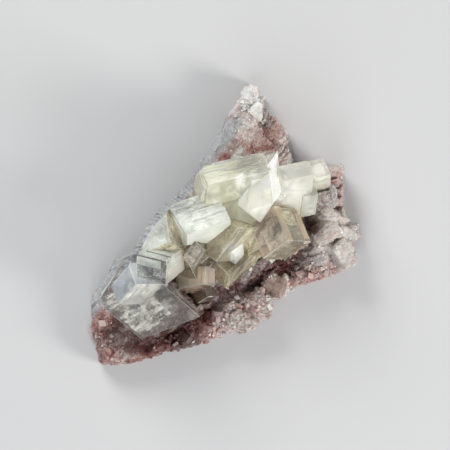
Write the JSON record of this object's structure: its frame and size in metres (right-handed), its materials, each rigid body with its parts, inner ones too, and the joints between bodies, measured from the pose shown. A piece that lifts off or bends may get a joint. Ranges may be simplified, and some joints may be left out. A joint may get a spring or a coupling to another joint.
{
  "type": "calcite mineral specimen",
  "caption": "Wedge of pinkish crystal-coated host rock carrying a spray of clear pale yellow calcite rhombs, lying on its flat-cut back.",
  "frame": {"origin": "on the flat-cut back, under the middle of the outline", "axes": "+Z out of the back, through the crystals; +Y towards the pointed summit; +X towards the horn on the right"},
  "size_m": [0.0817, 0.0845, 0.0367],
  "materials": {
    "host_rock": "rough broken rock coated with sugary grey and white crystals, stained pinkish red in the hollows",
    "clear_calcite": "clear pale yellow crystal with bright cleavage faces, growth steps and cloudy veils inside",
    "tan_calcite": "hazy peach-tan crystal with smooth faces",
    "white_calcite": "milky white crystal with cleaved faces"
  },
  "bodies": {
    "root": {"host_rock": "host_rock", "main_crystal_cluster": "clear_calcite", "southwest_crystal_pair": "clear_calcite", "northeast_crystal": "clear_calcite", "south_crystal": "clear_calcite", "tan_crystal": "tan_calcite", "low_crystal": "tan_calcite", "rim_crystal": "white_calcite"}
  },
  "joints": []
}
